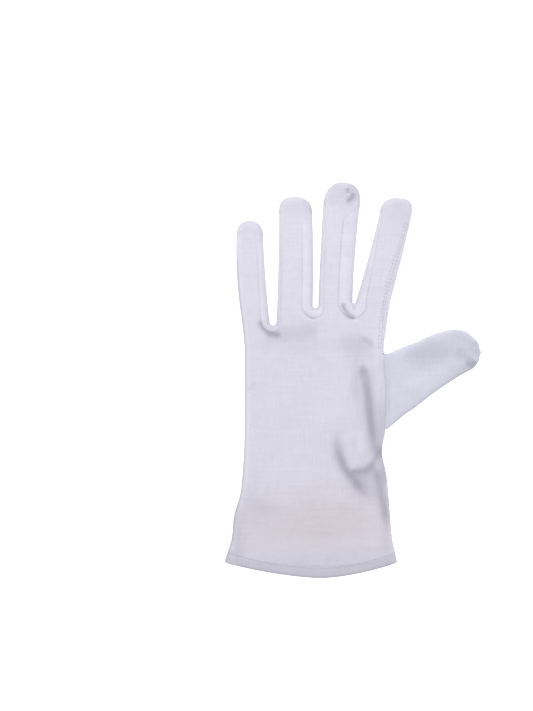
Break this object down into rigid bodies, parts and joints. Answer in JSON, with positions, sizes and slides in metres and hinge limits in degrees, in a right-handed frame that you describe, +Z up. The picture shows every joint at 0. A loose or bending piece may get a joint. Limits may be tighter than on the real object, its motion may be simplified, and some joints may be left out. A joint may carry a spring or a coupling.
{
  "type": "white parade glove",
  "caption": "White cotton parade glove for the left hand, lying flat with its palm down, sewn with side strips between the fingers and a hemmed wrist.",
  "frame": {"origin": "middle of the glove's box on the surface that it lies on", "axes": "+Y from the wrist towards the fingertips, +X towards the thumb, +Z up, away from the surface"},
  "size_m": [0.1544, 0.237, 0.0112],
  "materials": {
    "back_cotton": "matte knitted cotton",
    "palm_cotton": "matte knitted cotton",
    "fork_cotton": "matte knitted cotton",
    "thumb_cotton": "matte knitted cotton",
    "hem_cotton": "matte knitted cotton"
  },
  "bodies": {
    "root": {"back_panel": "back_cotton", "palm_panel": "palm_cotton", "fork_little_ring": "fork_cotton", "fork_ring_middle": "fork_cotton", "fork_middle_index": "fork_cotton", "thumb": "thumb_cotton", "cuff_hem": "hem_cotton"}
  },
  "joints": []
}
